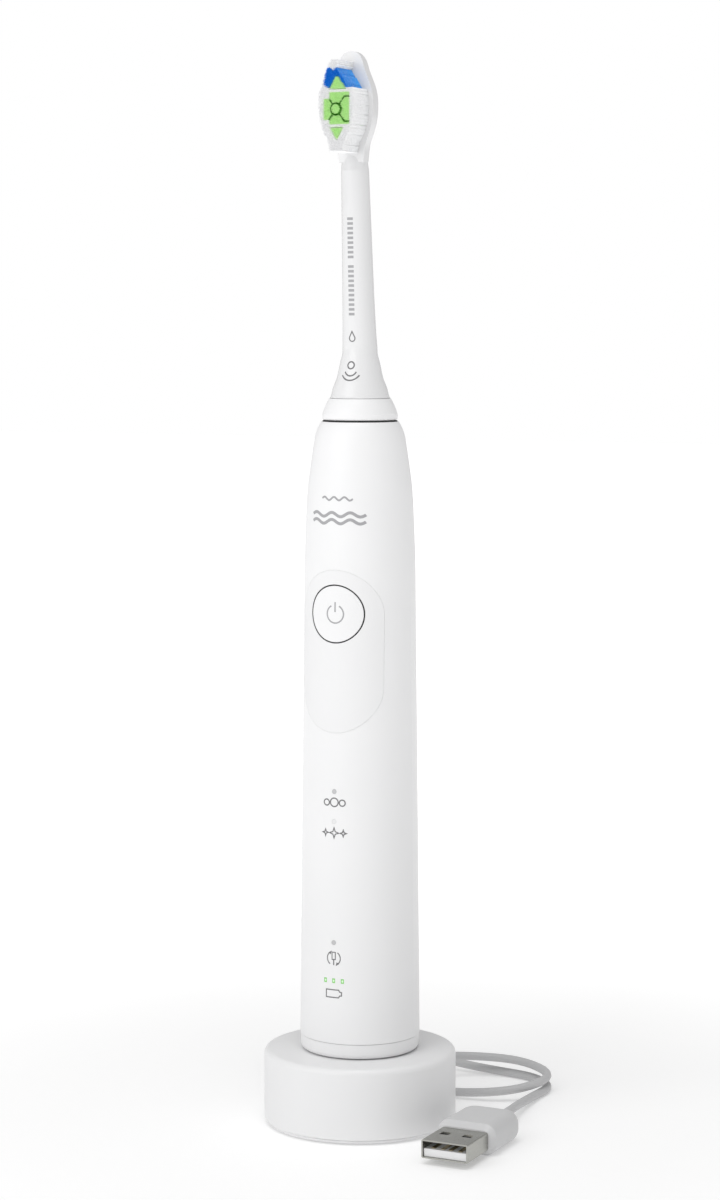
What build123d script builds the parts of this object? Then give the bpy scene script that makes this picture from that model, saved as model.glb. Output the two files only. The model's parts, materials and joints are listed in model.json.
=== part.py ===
from build123d import *
import os
from math import pi, tan, radians

# An electric toothbrush standing on its charger.  Millimetres, +Z up, z = 0 is the floor,
# the Z axis runs up the middle of the charger and the handle, and -Y is the button side.

# ---- charger -----------------------------------------------------------------------
BASE_R = 24.0               # radius of the round charger
BASE_TOP = 18.8             # height of its flat top
BASE_WALL = 1.8
BASE_TOP_ROUND = 1.5        # round on the top edge
BASE_LIFT = 1.2             # the cover's lower edge stands this far off the floor
RIM_LIFT = 0.45             # so does the base plate's rim, which shows under the cover
RIM_INSET = 0.5
BASE_FOOT_ROUND = 0.4
FOOT_RING_WIDTH = 4.0
FOOT_RING_INSET = 1.2       # from the cover's inner wall
PLATE_T = 1.7               # base plate
POST_R = 4.5                # charging post that the handle stands over
POST_RISE = 9.4             # its height above the flat top
POST_WALL = 1.0
FERRITE_R = 2.2
BOBBIN_WALL = 0.6
COIL_R = 7.6                # outer radius of the sending coil
SCREW_CIRCLE_R = 14.0
SCREW_R = 1.1
SCREW_HEAD_R = 2.1
SCREW_HEAD_H = 1.2          # from the cover's lower edge to the seat of the screw heads
SCREW_GRIP = 5.0            # length of thread in the boss
BOSS_R = 2.4
BOARD_T = 1.2

# ---- cord and plug -----------------------------------------------------------------
CORD_D = 2.2
CORD_EXIT_Z = 6.0
RELIEF_OUT = 9.0            # strain relief outside the wall
RELIEF_ROOT_R = 2.5
RELIEF_TIP_R = 1.6
HANK_MID_R = 12.1           # middle radius of the wound length
HANK_ROWS = 3               # turns side by side and on each other
HANK_CENTRE = (-23.0, 34.6)
TIE_T = 0.4                 # the tie's thickness under the bundle holds it off the floor
TIE_W = 5.0
TIE_FIT = 0.05
PLUG_W = 15.4               # moulded grip of the USB plug
PLUG_H = 7.8
PLUG_L = 18.5
PLUG_SIDE_ROUND = 3.2
PLUG_PLACE = (36.2, 1.8)    # middle of the grip's back face
SHELL_W = 12.0              # standard USB-A metal shell
SHELL_H = 4.5
SHELL_OUT = 12.0
SHELL_IN = 5.0
SHELL_T = 0.35
TONGUE_T = 1.85
CONTACT_W = 1.0

# ---- handle ------------------------------------------------------------------------
SEAT_GAP = 0.15             # handle stands this far above the charger's flat top
HANDLE_FOOT_R = 14.93       # at the seam of the bottom cap
HANDLE_MID_R = 14.5         # a third of the way up
HANDLE_GRIP_R = 13.75       # above the button, where the shoulder begins
HANDLE_TOP_R = 9.5          # rim under the brush head
CAP_H = 3.85                # visible height of the bottom cap
CAP_ROUND = 1.3
SEAM = 0.12                 # open seam between fitted mouldings
HANDLE_H = 156.25           # from the bottom cap's foot to the top rim
HOUSING_WALL = 1.9
SPIGOT_CLEARANCE = 0.1
SPIGOT_RISE = 4.4
SPIGOT_WALL = 2.2
POST_CLEARANCE = 0.5
RECESS_WALL = 1.1
O_RING_R = 0.7
MID_RISE = 53.05            # the middle width is this far above the foot
GRIP_TOP_DROP = 37.2        # the upper widths are this far below the top rim
SHOULDER_H = 25.2
# how far the shoulder has drawn in, at shares of its height
SHOULDER_CURVE = ((0.09, 0.0), (0.25, 0.43), (0.49, 0.72), (0.75, 0.92))
RIM_SLOPE = (-1.6, 2.0)
BUTTON_DROP = 46.3          # the button's middle is this far below the top rim

BUTTON_R = 6.85
BUTTON_RING_T = 0.3
BUTTON_FIT = 0.05
BUTTON_T = 1.5
BUTTON_TRAVEL = 0.6
PLUNGER_R = 1.3
SWITCH_W = 4.8
SWITCH_T = 0.9
PANEL_HALF_W = 10.8         # soft grip pad round the button
PANEL_RISE = 10.7           # its top above the button's middle
PANEL_L = 39.8
PANEL_T = 0.9
PANEL_FIT = 0.04

BATTERY_R = 7.0             # 14500 cell
BATTERY_L = 50.0
BATTERY_GAP = 5.3           # above the recess for the charging post
CONTACT_T = 0.5
FRAME_T = 1.4               # inner frame behind the cell and the motor
PCB_Y = -9.2                # back face of the main board
PCB_W = 10.0
LIGHT_R = 0.6
LIGHT_FIT = 0.03
MODE_LIGHT_RISE = (66.45, 59.05)
REMINDER_LIGHT_RISE = 29.05
BATTERY_LIGHT_RISE = 19.55
BATTERY_LIGHT_PITCH = 2.3
BATTERY_LIGHT_W = 0.74
BATTERY_LIGHT_H = 1.1

# ---- drive -------------------------------------------------------------------------
SHAFT_R = 2.0
SHAFT_TAIL = 4.0            # the shaft's length below the motor
SHAFT_REACH = 23.8          # and above the handle's top rim
SHAFT_FLAT = 1.45           # distance of the drive flat from the axis
SHAFT_FLAT_L = 14.0
RUN_FIT = 0.05              # running clearance on the shaft
MOTOR_GAP = 11.0            # between the cell and the motor
MOTOR_L = 24.0
MOTOR_R = 8.6
ROTOR_R = 4.6
AIR_GAP = 0.5
BEARING_R = 5.0
BEARING_L = 3.0
UPPER_BEARING_DROP = 22.2
SPRING_R = 3.4

# ---- brush head --------------------------------------------------------------------
HEAD_GAP = 0.45             # open line between the handle and the head
SEAL_LIP = 0.3              # the shaft seal's lip in that line
COLLAR_R = 9.25
COLLAR_TOP_R = 7.6
COLLAR_H = 5.3
NECK_FOOT_R = 7.45
NECK_R = 4.28
NECK_TOP_R = 3.35
NECK_LEAN = 2.9             # the neck's top stands this far forward
NECK_BEND_RISE = 14.8       # heights above the handle's top rim
NECK_TOP_RISE = 63.8
SOCKET_RISE = 8.3
HEAD_TIP_RISE = 89.3
NECK_STATIONS = (14.0, 25.0, 37.0, 46.0)     # heights above the bend
# what is left of the flare, at shares of its height
FLARE_CURVE = ((0.79, 0.17), (0.50, 0.37), (0.19, 0.72))
SOCKET_WALL = 1.0
HEAD_MID_DROP = 13.7        # the widest place is this far below the tip
HEAD_HALF_W = 6.0
HEAD_BACK_Y = -1.1
HEAD_T = 3.9
HEAD_ROUND = 1.5            # round on the plate's back edge
# how far forward the plate's back has come, at shares of the way up to the tip
BACK_CURVE = ((0.06, 0.45), (0.25, 0.77))
HEAD_TIP_T = 1.2            # the back slopes forward to this thickness at the tip
BRISTLE_INSET = 1.3         # bare rim of the plate round the bristles
BRISTLE_TOP_INSET = 2.5
BRISTLE_L = 8.3
BRISTLE_GAP = 0.05
BLUE_DROP = (8.9, 4.3)      # lower and upper limits below the tip
GREEN_DROP = (17.6, 10.3)
TUFT_HALF_W = 3.3


def save(shape, node):
    export_step(shape, f"parts/{node}.step")


def rod(r, z0, z1):
    return Pos(0, 0, z0) * Cylinder(r, z1 - z0, align=(Align.CENTER, Align.CENTER, Align.MIN))


def tube(r_out, r_in, z0, z1):
    return rod(r_out, z0, z1) - rod(r_in, z0 - 1, z1 + 1)


def block(x0, x1, y0, y1, z0, z1):
    centre = Pos((x0 + x1) / 2, (y0 + y1) / 2, (z0 + z1) / 2)
    return centre * Box(x1 - x0, y1 - y0, z1 - z0)


def rod_y(r, x, z, y0, y1):
    """A round bar along Y, from y0 up to y1."""
    middle = Pos(x, (y0 + y1) / 2, z)
    return middle * Rot(90, 0, 0) * Cylinder(r, y1 - y0)


def turned(outline):
    """A solid of revolution about Z from an outline drawn in the XZ plane."""
    return revolve(Plane.XZ * make_face(outline), Axis.Z)


# ---- charger -----------------------------------------------------------------------
CEILING = BASE_TOP - BASE_WALL
BASE_IN_R = BASE_R - BASE_WALL
POST_TOP = BASE_TOP + POST_RISE
PLATE_TOP = BASE_LIFT + PLATE_T
CORE_R = FERRITE_R + 0.1 + BOBBIN_WALL


def spots(radius, count=3, first=90):
    for i in range(count):
        yield Rot(0, 0, first + 180 + 360 / count * i) * Pos(radius, 0, 0)


def charger_cover():
    body = rod(BASE_R, BASE_LIFT, BASE_TOP)
    body = fillet(body.edges().sort_by(Axis.Z)[-1], BASE_TOP_ROUND)
    body = fillet(body.edges().sort_by(Axis.Z)[0], BASE_FOOT_ROUND)
    post = rod(POST_R, CEILING, POST_TOP)
    body += fillet(post.edges().sort_by(Axis.Z)[-1], 0.8)
    body -= rod(BASE_IN_R, 0, CEILING)
    body -= rod(POST_R - POST_WALL, CEILING - 1, POST_TOP - POST_WALL)
    for spot in spots(SCREW_CIRCLE_R):
        body += spot * (rod(BOSS_R, PLATE_TOP, CEILING + 0.2) - rod(SCREW_R, 0, PLATE_TOP + SCREW_GRIP + 2))
    return body - rod_y(RELIEF_ROOT_R, 0, CORD_EXIT_Z, BASE_IN_R - 3, BASE_R + 3)


def charger_base_plate():
    plate = rod(BASE_IN_R - 0.1, RIM_LIFT, PLATE_TOP)
    rim = rod(BASE_R - RIM_INSET, RIM_LIFT, BASE_LIFT - 0.1)
    plate += fillet(rim.edges().sort_by(Axis.Z)[0], 0.3)
    for spot in spots(SCREW_CIRCLE_R):
        plate -= spot * (rod(SCREW_R + 0.1, 0, 9) + rod(SCREW_HEAD_R + 0.1, 0, BASE_LIFT + SCREW_HEAD_H))
    return plate


def foot_ring():
    r_out = BASE_IN_R - FOOT_RING_INSET
    ring = tube(r_out, r_out - FOOT_RING_WIDTH, 0, RIM_LIFT)
    return fillet(ring.edges().sort_by(Axis.Z)[:2], 0.2)


def charger_screw(spot):
    head = rod(SCREW_HEAD_R, BASE_LIFT + 0.1, BASE_LIFT + SCREW_HEAD_H)
    return spot * (head + rod(SCREW_R, BASE_LIFT + 1, PLATE_TOP + SCREW_GRIP))


def ferrite_core():
    return rod(FERRITE_R, PLATE_TOP + 3, POST_TOP - POST_WALL - 0.3)


def sending_bobbin():
    z0, z1 = PLATE_TOP + 3, CEILING - 0.3
    flange = COIL_R + 0.4
    return tube(CORE_R, FERRITE_R + 0.1, z0, z1) + tube(flange, FERRITE_R + 0.1, z0, z0 + 0.8) \
        + tube(flange, FERRITE_R + 0.1, z1 - 0.8, z1)


def sending_coil():
    return tube(COIL_R, CORE_R + 0.02, PLATE_TOP + 3.85, CEILING - 1.15)


def charger_board():
    z = PLATE_TOP + 0.6
    board = rod(BASE_IN_R - 2.9, z, z + BOARD_T)
    for spot in spots(SCREW_CIRCLE_R):
        board -= spot * rod(BOSS_R + 0.3, 0, 20)
    board += block(-15.5, -11.5, -3, 3, z + BOARD_T, z + BOARD_T + 1.4)
    return board + Pos(12.5, -3.5) * rod(2.2, z + BOARD_T, z + BOARD_T + 6.5)


# ---- cord --------------------------------------------------------------------------
RELIEF_TIP_Y = BASE_R + RELIEF_OUT
FLOOR_Z = CORD_D / 2 + 0.05
HANK_FLOOR_Z = FLOOR_Z + TIE_T
HANK_TOP_Z = TIE_T + (HANK_ROWS - 0.5) * CORD_D

# from the strain relief round the wide loop to the wound length
CORD_OUT = (
    (0.0, RELIEF_TIP_Y, CORD_EXIT_Z), (0.0, 44.4, CORD_EXIT_Z), (10.6, 51.7, 5.4), (22.0, 54.4, 4.8),
    (33.7, 46.4, 4.2), (31.7, 33.8, 3.7), (22.6, 29.2, 2.3), (9.3, 28.1, 1.3),
    (-3.3, 27.4, FLOOR_Z), (-16.6, 21.9, HANK_FLOOR_Z))

# from the wound length round again, under the first loop, to the plug
CORD_LEAD = (
    (-29.3, 47.4, HANK_TOP_Z), (-15.4, 52.0, 4.6), (0.8, 53.0, 2.2), (13.6, 54.6, FLOOR_Z),
    (25.2, 53.2, FLOOR_Z), (33.3, 45.9, FLOOR_Z), (32.6, 34.8, 1.3), (34.0, 21.0, 2.5),
    (PLUG_PLACE[0], 11.2, PLUG_H / 2), (PLUG_PLACE[0], PLUG_PLACE[1], PLUG_H / 2))


def route_radii(points):
    """Arc radius at each inner point: 0.45 of the shorter run over the tangent of half the turn."""
    path = [Vector(*p) for p in points]
    radii = []
    for before, here, after in zip(path, path[1:], path[2:]):
        run_in, run_out = here - before, after - here
        turn = run_in.get_angle(run_out)
        radii.append(0.45 * min(run_in.length, run_out.length) / tan(radians(turn) / 2))
    return radii


def cord_tube(points, name):
    radii = route_radii(points)
    path = FilletPolyline(*points, radius=radii)
    section = Plane(path @ 0, z_dir=path % 0) * Circle(CORD_D / 2)
    cord = sweep(section, path)
    expected = pi * CORD_D ** 2 / 4 * path.length
    print(f"{name}: radii {[round(r, 1) for r in radii]}")
    print(f"{name}: length {path.length:.1f}, volume {cord.volume:.1f}, section x length {expected:.1f}")
    return cord


def hank_ring(grow):
    """The wound bundle, a ring of square section with grow added all round."""
    half = HANK_ROWS * CORD_D / 2
    ring = tube(HANK_MID_R + half + grow, HANK_MID_R - half - grow, TIE_T - grow, TIE_T + 2 * half + grow)
    return fillet(ring.edges().filter_by(GeomType.CIRCLE), 1.0)


def cord_hank():
    return Pos(*HANK_CENTRE, 0) * hank_ring(0)


def cord_tie():
    """A flat band round the bundle, on the side away from the charger."""
    band = hank_ring(TIE_FIT + TIE_T - 0.06) - hank_ring(TIE_FIT)
    window = Pos(HANK_MID_R, 0, 5) * Box(20, TIE_W, 20)
    return Pos(*HANK_CENTRE, 0) * Rot(0, 0, 160) * (band & window)


def strain_relief():
    inner_end, flange = BASE_IN_R - 2.6, BASE_IN_R - 0.9
    barrel_r, flange_r = RELIEF_ROOT_R - 0.03, RELIEF_ROOT_R + 0.4
    outline = Polyline((0, inner_end), (flange_r, inner_end), (flange_r, flange), (barrel_r, flange),
                       (barrel_r, BASE_R + 0.6), (RELIEF_TIP_R, RELIEF_TIP_Y), (0, RELIEF_TIP_Y),
                       (0, inner_end))
    solid = revolve(make_face(outline), Axis.Y)
    return Pos(0, 0, CORD_EXIT_Z) * solid


# ---- plug --------------------------------------------------------------------------
def plug_frame():
    """Places what is drawn with the plug's axis on Y, its back at y = 0 and its mouth toward -Y."""
    return Pos(PLUG_PLACE[0], PLUG_PLACE[1], PLUG_H / 2)


def plug_body():
    section = Plane.XZ * RectangleRounded(PLUG_W, PLUG_H, PLUG_SIDE_ROUND)
    grip = extrude(section, PLUG_L)
    plan = Plane.XY * Pos(0, -PLUG_L / 2) * RectangleRounded(PLUG_W, PLUG_L, 3.6)
    plan += Plane.XY * Pos(0, -PLUG_L * 0.75) * Rectangle(PLUG_W, PLUG_L / 2)
    grip &= Pos(0, 0, -PLUG_H) * extrude(plan, 2 * PLUG_H)
    grip = chamfer(grip.faces().sort_by(Axis.Y)[0].edges(), 1.3)
    socket = block(-SHELL_W / 2 - 0.02, SHELL_W / 2 + 0.02, -PLUG_L - 1, -PLUG_L + SHELL_IN + 0.02,
                   -SHELL_H / 2 - 0.02, SHELL_H / 2 + 0.02)
    return plug_frame() * (grip - socket)


def plug_shell():
    y_mouth, y_back = -PLUG_L - SHELL_OUT, -PLUG_L + SHELL_IN
    outer = block(-SHELL_W / 2, SHELL_W / 2, y_mouth, y_back, -SHELL_H / 2, SHELL_H / 2)
    outer = fillet(outer.edges().filter_by(Axis.Y), 0.35)
    inner = block(-SHELL_W / 2 + SHELL_T, SHELL_W / 2 - SHELL_T, y_mouth - 1, y_back + 1,
                  -SHELL_H / 2 + SHELL_T, SHELL_H / 2 - SHELL_T)
    shell = outer - inner
    for x in (-2.9, 2.9):
        shell -= block(x - 1.15, x + 1.15, y_mouth + 6.0, y_mouth + 8.2, -SHELL_H, SHELL_H)
    return plug_frame() * shell


def plug_tongue():
    inside = SHELL_W / 2 - SHELL_T - 0.1
    low = -SHELL_H / 2 + SHELL_T + 0.05
    y_mouth, y_back = -PLUG_L - SHELL_OUT + 0.5, -PLUG_L + SHELL_IN - 0.1
    tongue = block(-inside, inside, y_mouth, y_back, low, low + TONGUE_T)
    return plug_frame() * (tongue + block(-inside, inside, y_back - 4, y_back, low, -low))


def plug_contacts():
    top = -SHELL_H / 2 + SHELL_T + 0.05 + TONGUE_T
    y_mouth = -PLUG_L - SHELL_OUT + 1.4
    contacts = Part()
    for x in (-3.5, -1.0, 1.0, 3.5):
        contacts += block(x - CONTACT_W / 2, x + CONTACT_W / 2, y_mouth, y_mouth + 7.4, top, top + 0.15)
    return plug_frame() * contacts


# ---- handle ------------------------------------------------------------------------
FOOT_Z = BASE_TOP + SEAT_GAP
SEAM_Z = FOOT_Z + CAP_H
RECESS_R = POST_R + POST_CLEARANCE
RECESS_TOP = POST_TOP + POST_CLEARANCE
SPIGOT_R = HANDLE_FOOT_R - HOUSING_WALL - SPIGOT_CLEARANCE
O_RING_Z = SEAM_Z + 2.2
SWITCH_Y = PCB_Y - BOARD_T - SWITCH_T
STEM_Y = SWITCH_Y - BUTTON_TRAVEL - 0.1
SEAL_R = HANDLE_TOP_R - 1.6
HOUSING_TOP = FOOT_Z + HANDLE_H
MID_Z = FOOT_Z + MID_RISE
GRIP_TOP_Z = HOUSING_TOP - GRIP_TOP_DROP
SHOULDER_Z = HOUSING_TOP - SHOULDER_H
BUTTON_Z = HOUSING_TOP - BUTTON_DROP
PANEL_TOP_Z = BUTTON_Z + PANEL_RISE
PANEL_BOTTOM_Z = PANEL_TOP_Z - PANEL_L
BATTERY_Z = RECESS_TOP + BATTERY_GAP
MODE_LIGHT_Z = [FOOT_Z + rise for rise in MODE_LIGHT_RISE]
REMINDER_LIGHT_Z = FOOT_Z + REMINDER_LIGHT_RISE
BATTERY_LIGHT_Z = FOOT_Z + BATTERY_LIGHT_RISE


def shoulder_r(share):
    """Radius on the way from the grip (0) to the top rim (1)."""
    return HANDLE_GRIP_R - (HANDLE_GRIP_R - HANDLE_TOP_R) * share


def handle_solid(inset, z0=None, z1=None):
    """The handle's outer form, drawn in by inset and cut off at z0 and z1."""
    rise = HOUSING_TOP - SHOULDER_Z
    low = SEAM_Z if z0 is None else z0
    foot, mid = (HANDLE_FOOT_R - inset, low), (HANDLE_MID_R - inset, MID_Z)
    grip, top = (HANDLE_GRIP_R - inset, GRIP_TOP_Z), (HANDLE_TOP_R - inset, HOUSING_TOP)
    curve = [(shoulder_r(share) - inset, SHOULDER_Z + up * rise) for share, up in SHOULDER_CURVE]
    grip_slope = (HANDLE_GRIP_R - HANDLE_MID_R, GRIP_TOP_Z - MID_Z)
    shoulder = Spline(grip, *curve, top, tangents=(grip_slope, RIM_SLOPE))
    solid = turned(Polyline(foot, mid, grip) + shoulder + Polyline(top, (0, HOUSING_TOP), (0, low), foot))
    return solid if z1 is None else solid & rod(2 * HANDLE_FOOT_R, low, z1)


def front_skin(depth, extra=0.0):
    """The outermost layer of the handle, depth thick, with extra added outside it."""
    return handle_solid(-extra) - handle_solid(depth)


def panel_prism(grow):
    """A rounded upright plate toward -Y that marks out the soft pad."""
    half, top, bottom = PANEL_HALF_W + grow, PANEL_TOP_Z + grow, PANEL_BOTTOM_Z - grow
    outline = Plane.XZ * Pos(0, (top + bottom) / 2) * SlotOverall(top - bottom, 2 * half, rotation=90)
    return extrude(outline, 20)


def light_spots():
    """Name, x, z and whether the window is upright and narrow."""
    for i, z in enumerate(MODE_LIGHT_Z):
        yield f"mode_light_{i + 1}", 0.0, z, False
    yield "reminder_light", 0.0, REMINDER_LIGHT_Z, False
    for i in range(3):
        yield f"battery_light_{i + 1}", (i - 1) * BATTERY_LIGHT_PITCH, BATTERY_LIGHT_Z, True


def light_bar(x, z, narrow, grow, y0=-20.0):
    if not narrow:
        return rod_y(LIGHT_R + grow, x, z, y0, PCB_Y - 2.2)
    half_w, half_h = BATTERY_LIGHT_W / 2 + grow, BATTERY_LIGHT_H / 2 + grow
    return block(x - half_w, x + half_w, y0, PCB_Y - 2.2, z - half_h, z + half_h)


def housing():
    shell = handle_solid(0) - handle_solid(HOUSING_WALL, z1=HOUSING_TOP - 2.2)
    shell -= rod(SEAL_R, HOUSING_TOP - 3, HOUSING_TOP + 1)
    shell -= front_skin(PANEL_T + PANEL_FIT, 1.0) & panel_prism(PANEL_FIT)
    shell -= rod_y(BUTTON_R + BUTTON_FIT + BUTTON_RING_T, 0, BUTTON_Z, -20, -5)
    for _, x, z, narrow in light_spots():
        shell -= light_bar(x, z, narrow, LIGHT_FIT)
    shell = shell.solids().sort_by(SortBy.VOLUME)[-1]
    return shell


def grip_panel():
    pad = front_skin(PANEL_T) & panel_prism(0)
    return pad - rod_y(BUTTON_R + BUTTON_FIT + BUTTON_RING_T, 0, BUTTON_Z, -20, -5)


def button_ring():
    ring_r = BUTTON_R + BUTTON_FIT
    ring = rod_y(ring_r + BUTTON_RING_T - 0.02, 0, BUTTON_Z, -20, -8)
    ring -= rod_y(ring_r, 0, BUTTON_Z, -21, -7)
    return ring & (handle_solid(0.05) - handle_solid(BUTTON_T))


def power_button():
    cap = rod_y(BUTTON_R, 0, BUTTON_Z, -20, -8) & (handle_solid(0.02) - handle_solid(BUTTON_T))
    return cap + rod_y(2.2, 0, BUTTON_Z, STEM_Y - 0.9, STEM_Y)


def button_plunger():
    return rod_y(PLUNGER_R, 0, BUTTON_Z, STEM_Y, SWITCH_Y + 0.2)


def light_guide(x, z, narrow):
    return light_bar(x, z, narrow, 0) & handle_solid(0.03)


def bottom_cap():
    r = HANDLE_FOOT_R - SEAM
    cap = rod(r, FOOT_Z, SEAM_Z - SEAM)
    cap = fillet(cap.edges().sort_by(Axis.Z)[0], CAP_ROUND)
    cap += tube(SPIGOT_R, SPIGOT_R - SPIGOT_WALL, SEAM_Z - SEAM - 0.5, SEAM_Z + SPIGOT_RISE)
    cap += rod(RECESS_R + RECESS_WALL, FOOT_Z + 1, RECESS_TOP + RECESS_WALL)
    cap -= rod(RECESS_R, FOOT_Z - 1, RECESS_TOP)
    groove = tube(SPIGOT_R + 1, SPIGOT_R - 2 * O_RING_R, O_RING_Z - O_RING_R, O_RING_Z + O_RING_R)
    return cap - groove


def cap_o_ring():
    ring = Pos(0, 0, O_RING_Z) * Torus(SPIGOT_R + 0.05 - O_RING_R, O_RING_R - 0.04)
    return ring


def receiving_coil():
    return tube(SPIGOT_R - SPIGOT_WALL - 0.3, RECESS_R + RECESS_WALL + 0.25, SEAM_Z + 0.9, SEAM_Z + 5.9)


def receiving_bobbin():
    r_in, r_out = RECESS_R + RECESS_WALL + 0.05, SPIGOT_R - SPIGOT_WALL - 0.2
    z0, z1 = SEAM_Z + 0.3, SEAM_Z + 6.5
    bobbin = tube(r_in + 0.18, r_in, z0, z1)
    return bobbin + tube(r_out, r_in, z0, z0 + 0.5) + tube(r_out, r_in, z1 - 0.5, z1)


def battery():
    cell = rod(BATTERY_R, BATTERY_Z, BATTERY_Z + BATTERY_L)
    return cell + rod(2.6, BATTERY_Z + BATTERY_L, BATTERY_Z + BATTERY_L + 0.8)


def battery_contact(z):
    return tube(5.0, 1.5, z, z + CONTACT_T)


def inner_frame():
    """Half-round carrier behind the cell, closed below and above it."""
    r = BATTERY_R + 0.2
    z0, z1 = BATTERY_Z - 2.0, BATTERY_Z + BATTERY_L + 3.0
    rear = block(-20, 20, 0, 20, z0, z1)
    carrier = tube(r + FRAME_T, r, z0, z1) & rear
    floor = rod(r + FRAME_T, z0, z0 + 1.0) & block(-20, 20, -4, 20, z0, z1)
    roof = rod(r + FRAME_T, z1 - 1.0, z1) & block(-20, 20, -4, 20, z0, z1)
    return carrier + floor + roof


def main_board():
    y = PCB_Y - BOARD_T
    board = block(-PCB_W / 2, PCB_W / 2, y, PCB_Y, BATTERY_Z, BUTTON_Z + 9)
    board += block(-3, 3, PCB_Y, PCB_Y + 1.2, BATTERY_Z + 26, BATTERY_Z + 32)
    board += block(-4, 4, y - 1.1, y, MOTOR_Z + 1, MOTOR_Z + 7)
    for _, x, z, _narrow in light_spots():
        board += block(x - 0.7, x + 0.7, y - 0.7, y, z - 0.8, z + 0.8)
    return board


def push_switch():
    y = PCB_Y - BOARD_T
    half = SWITCH_W / 2
    case = block(-half, half, SWITCH_Y, y, BUTTON_Z - half, BUTTON_Z + half)
    return case - rod_y(PLUNGER_R + 0.1, 0, BUTTON_Z, -20, y + 1)


# ---- drive -------------------------------------------------------------------------
MOTOR_Z = BATTERY_Z + BATTERY_L + MOTOR_GAP
MOTOR_TOP = MOTOR_Z + MOTOR_L
SHAFT_FOOT_Z = MOTOR_Z - SHAFT_TAIL
SHAFT_TOP_Z = HOUSING_TOP + SHAFT_REACH
UPPER_BEARING_Z = HOUSING_TOP - UPPER_BEARING_DROP


def drive_shaft():
    shaft = rod(SHAFT_R, SHAFT_FOOT_Z, SHAFT_TOP_Z)
    shaft = chamfer(shaft.edges().sort_by(Axis.Z)[-1], 0.4)
    return shaft - block(-5, 5, SHAFT_FLAT, 5, SHAFT_TOP_Z - SHAFT_FLAT_L, SHAFT_TOP_Z + 1)


def rotor():
    return tube(ROTOR_R - 1.3, SHAFT_R, MOTOR_Z + 3, MOTOR_TOP - 3)


def rotor_magnets():
    """Two half-round magnets with a gap of twice half_gap between them."""
    half_gap = 0.2
    ring = tube(ROTOR_R, ROTOR_R - 1.25, MOTOR_Z + 4, MOTOR_TOP - 4)
    return ring - block(-half_gap, half_gap, -10, 10, MOTOR_Z, MOTOR_TOP)


def stator(side):
    """One laminated pole piece beside the rotor."""
    ring = tube(MOTOR_R, ROTOR_R + AIR_GAP, MOTOR_Z + 3.5, MOTOR_TOP - 3.5)
    return ring & block(side * 5.6 - 4, side * 5.6 + 4, -10, 10, MOTOR_Z, MOTOR_TOP)


def stator_coil():
    """The winding behind the rotor, between the two pole pieces."""
    ring = tube(MOTOR_R, ROTOR_R + AIR_GAP, MOTOR_Z + 4.5, MOTOR_TOP - 4.5)
    return ring & block(-1.4, 1.4, 0, 10, MOTOR_Z, MOTOR_TOP)


def motor_plate(z):
    """An end plate that carries a bearing and stands on the inner wall."""
    return tube(MOTOR_R + 0.4, BEARING_R + 0.01, z, z + 2.0)


def bearing(z):
    return tube(BEARING_R, SHAFT_R + RUN_FIT, z, z + BEARING_L)


def drive_spring():
    """Torsion sleeve that centres the shaft, fixed to the frame below and the shaft above."""
    return tube(SPRING_R, SHAFT_R + 0.3, MOTOR_TOP + 4, UPPER_BEARING_Z - 5)


def bearing_carrier():
    r_out = shoulder_r(0.26) - HOUSING_WALL - 0.4
    return tube(r_out, BEARING_R + 0.01, UPPER_BEARING_Z, UPPER_BEARING_Z + BEARING_L)


def shaft_seal():
    """Soft plug round the shaft, with a thin lip that shows as a line under the brush head."""
    plug = tube(SEAL_R - 0.05, SHAFT_R + 0.1, HOUSING_TOP - 2.6, HOUSING_TOP + 0.02)
    return plug + tube(HANDLE_TOP_R - 0.3, SHAFT_R + 0.1, HOUSING_TOP + 0.02, HOUSING_TOP + SEAL_LIP)


# ---- brush head --------------------------------------------------------------------
HEAD_Z = HOUSING_TOP + HEAD_GAP
COLLAR_TOP = HEAD_Z + COLLAR_H
SOCKET_R = SHAFT_R + RUN_FIT + SOCKET_WALL
HEAD_FRONT_Y = HEAD_BACK_Y - HEAD_T
TIP_Y = HEAD_FRONT_Y - BRISTLE_L
CLIP_R = SHAFT_R + 1.5
NECK_BEND_Z = HOUSING_TOP + NECK_BEND_RISE
NECK_TOP_Z = HOUSING_TOP + NECK_TOP_RISE
SOCKET_Z = HOUSING_TOP + SOCKET_RISE
HEAD_TIP_Z = HOUSING_TOP + HEAD_TIP_RISE
HEAD_MID_Z = HEAD_TIP_Z - HEAD_MID_DROP
BLUE_Z = [HEAD_TIP_Z - drop for drop in BLUE_DROP]
GREEN_Z = [HEAD_TIP_Z - drop for drop in GREEN_DROP]


def brush_collar():
    low, high = HEAD_Z, COLLAR_TOP - 0.1
    waist = (COLLAR_TOP_R + 0.56 * (COLLAR_R - COLLAR_TOP_R), HEAD_Z + 0.64 * COLLAR_H)
    edge = Polyline((0, low), (COLLAR_R - 0.3, low), (COLLAR_R, low + 0.3), (COLLAR_R, low + 1.4))
    side = ThreePointArc((COLLAR_R, low + 1.4), waist, (COLLAR_TOP_R, high))
    solid = turned(edge + side + Polyline((COLLAR_TOP_R, high), (0, high), (0, low)))
    return solid - rod(SEAL_R - 1.2, HEAD_Z - 1, COLLAR_TOP + 1)


def neck_station(z):
    """Radius and forward offset of the neck at height z."""
    share = (z - NECK_BEND_Z) / (NECK_TOP_Z - NECK_BEND_Z)
    radius = NECK_R + (NECK_TOP_R - NECK_R) * share ** 0.8
    return radius, NECK_LEAN * share


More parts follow.
